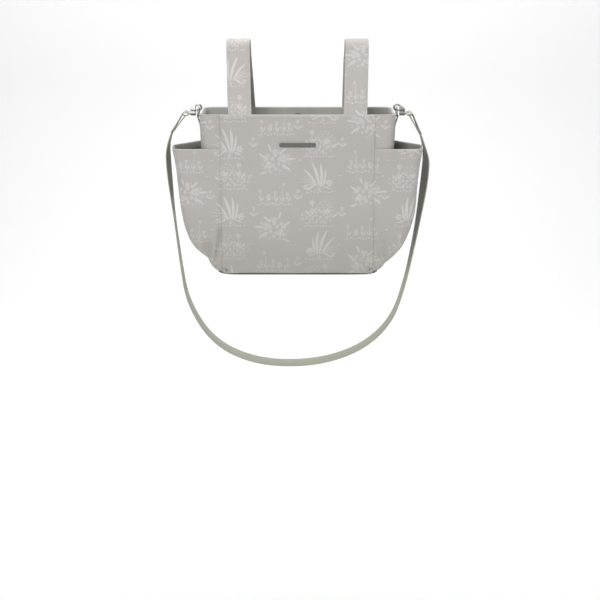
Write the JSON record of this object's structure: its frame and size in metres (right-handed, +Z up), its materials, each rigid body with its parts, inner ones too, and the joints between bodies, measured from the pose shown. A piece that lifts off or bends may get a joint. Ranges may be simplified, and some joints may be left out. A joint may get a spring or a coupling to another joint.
{
  "type": "diaper bag",
  "caption": "Soft printed tote-shaped stroller bag with handlebar loops, bulging side pockets and a clip-on webbing shoulder strap.",
  "frame": {"origin": "axis of the handlebar that the two loops go round, midway between the loops", "axes": "+Z up, +X along the handlebar to the right as seen from the front of the bag, -Y towards the front"},
  "size_m": [0.4452, 0.1504, 0.5726],
  "materials": {
    "printed_canvas": "matt coated canvas with a pale botanical print",
    "lining_fabric": "matt grey lining",
    "facing_fabric": "matt sage twill",
    "webbing": "ribbed sage webbing",
    "hook_and_loop": "matt black hook-and-loop tape",
    "board": "plain board",
    "nickel": "satin nickel plating",
    "spring_steel": "bare spring wire",
    "plate_metal": "brushed dark nickel"
  },
  "bodies": {
    "bag_body": {"front_panel": "printed_canvas", "back_panel": "printed_canvas", "side_panel_left": "printed_canvas", "side_panel_right": "printed_canvas", "base_panel": "printed_canvas", "base_board": "board", "lining": "lining_fabric", "rim_facing": "facing_fabric", "inner_pocket": "lining_fabric", "side_pocket_left": "printed_canvas", "side_pocket_right": "printed_canvas", "pocket_lining_left": "lining_fabric", "pocket_lining_right": "lining_fabric", "pocket_hem_left": "facing_fabric", "pocket_hem_right": "facing_fabric", "name_plate": "plate_metal", "snap_socket": "nickel", "snap_stud": "nickel", "loop_strap_left": "printed_canvas", "loop_strap_right": "printed_canvas", "rear_strap_left": "facing_fabric", "rear_strap_right": "facing_fabric", "rear_tape_left": "hook_and_loop", "rear_tape_right": "hook_and_loop", "ring_tab_left": "webbing", "ring_tab_right": "webbing"},
    "loop_tail_left": {"loop_tail_left": "printed_canvas", "tail_tape_left": "hook_and_loop"},
    "ring_left": {"d_ring_left": "nickel"},
    "hook_left": {"hook_body_left": "nickel", "hook_spring_left": "spring_steel"},
    "bolt_left": {"hook_bolt_left": "nickel"},
    "loop_tail_right": {"loop_tail_right": "printed_canvas", "tail_tape_right": "hook_and_loop"},
    "ring_right": {"d_ring_right": "nickel"},
    "hook_right": {"hook_body_right": "nickel", "hook_spring_right": "spring_steel"},
    "bolt_right": {"hook_bolt_right": "nickel"},
    "strap": {"strap_webbing": "webbing", "strap_end_left": "webbing", "strap_end_right": "webbing", "swivel_eye_left": "nickel", "swivel_eye_right": "nickel"}
  },
  "joints": [
    {"name": "strap_swing", "type": "hinge", "parent": "bag_body", "child": "strap", "pos_m": [0, 0, -0.1035], "axis": [1, 0, 0], "range_deg": [-90, 180]},
    {"name": "hook_left_ride", "type": "hinge", "parent": "bag_body", "child": "hook_left", "pos_m": [-0.1685, 0, -0.1035], "axis": [1, 0, 0], "range_deg": [-16, 31]},
    {"name": "bolt_left_slide", "type": "slide", "parent": "hook_left", "child": "bolt_left", "axis": [-1, 0, 0], "range_m": [0, 0.0045], "stiffness_N_per_m": 250},
    {"name": "ring_left_tilt", "type": "hinge", "parent": "bag_body", "child": "ring_left", "pos_m": [-0.1685, 0, -0.1075], "axis": [0, 1, 0], "range_deg": [-5, 5]},
    {"name": "loop_left_open", "type": "hinge", "parent": "bag_body", "child": "loop_tail_left", "pos_m": [-0.0975, 0, 0.0209], "axis": [1, 0, 0], "range_deg": [0, 90]},
    {"name": "hook_right_ride", "type": "hinge", "parent": "bag_body", "child": "hook_right", "pos_m": [0.1685, 0, -0.1035], "axis": [1, 0, 0], "range_deg": [-16, 31]},
    {"name": "bolt_right_slide", "type": "slide", "parent": "hook_right", "child": "bolt_right", "axis": [1, 0, 0], "range_m": [0, 0.0045], "stiffness_N_per_m": 250},
    {"name": "ring_right_tilt", "type": "hinge", "parent": "bag_body", "child": "ring_right", "pos_m": [0.1685, 0, -0.1075], "axis": [0, 1, 0], "range_deg": [-5, 5]},
    {"name": "loop_right_open", "type": "hinge", "parent": "bag_body", "child": "loop_tail_right", "pos_m": [0.0975, 0, 0.0209], "axis": [1, 0, 0], "range_deg": [0, 90]}
  ],
  "couplings": [
    {"joint": "hook_left_ride", "follows": "strap_swing", "ratio": 0.1667},
    {"joint": "hook_right_ride", "follows": "strap_swing", "ratio": 0.1667}
  ]
}
